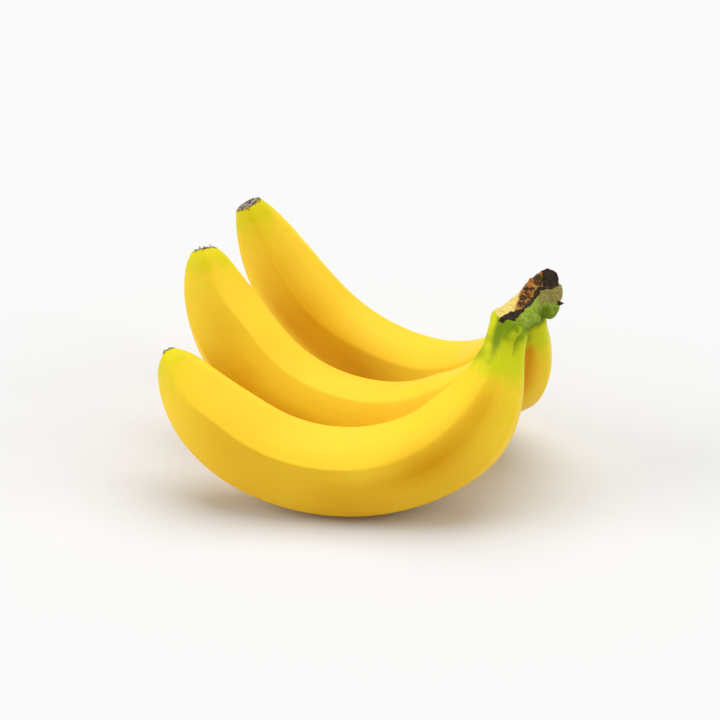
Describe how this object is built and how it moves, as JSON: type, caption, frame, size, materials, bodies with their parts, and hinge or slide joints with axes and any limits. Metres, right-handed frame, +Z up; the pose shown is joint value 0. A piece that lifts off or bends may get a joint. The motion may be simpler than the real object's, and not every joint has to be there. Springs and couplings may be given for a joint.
{
  "type": "bunch of bananas",
  "caption": "Small bunch of ripe yellow bananas fanned out from one cut crown, lying on their curved undersides with dried dark blossom ends raised.",
  "frame": {"origin": "centre of the bunch's footprint, on the surface that it lies on", "axes": "+Z up; +X towards the crown, -X towards the blossom ends; the fruit fan out towards +Y"},
  "size_m": [0.1545, 0.152, 0.0835],
  "materials": {
    "peel": "waxy satin peel, ripe yellow, greener at the neck and the tip",
    "crown_skin": "green skin round a torn, browned fibrous cut",
    "dried_blossom": "dry, dark and fibrous"
  },
  "bodies": {
    "root": {"banana_front": "peel", "banana_middle": "peel", "banana_back": "peel", "crown": "crown_skin", "blossom_end_front": "dried_blossom", "blossom_end_middle": "dried_blossom", "blossom_end_back": "dried_blossom"}
  },
  "joints": []
}
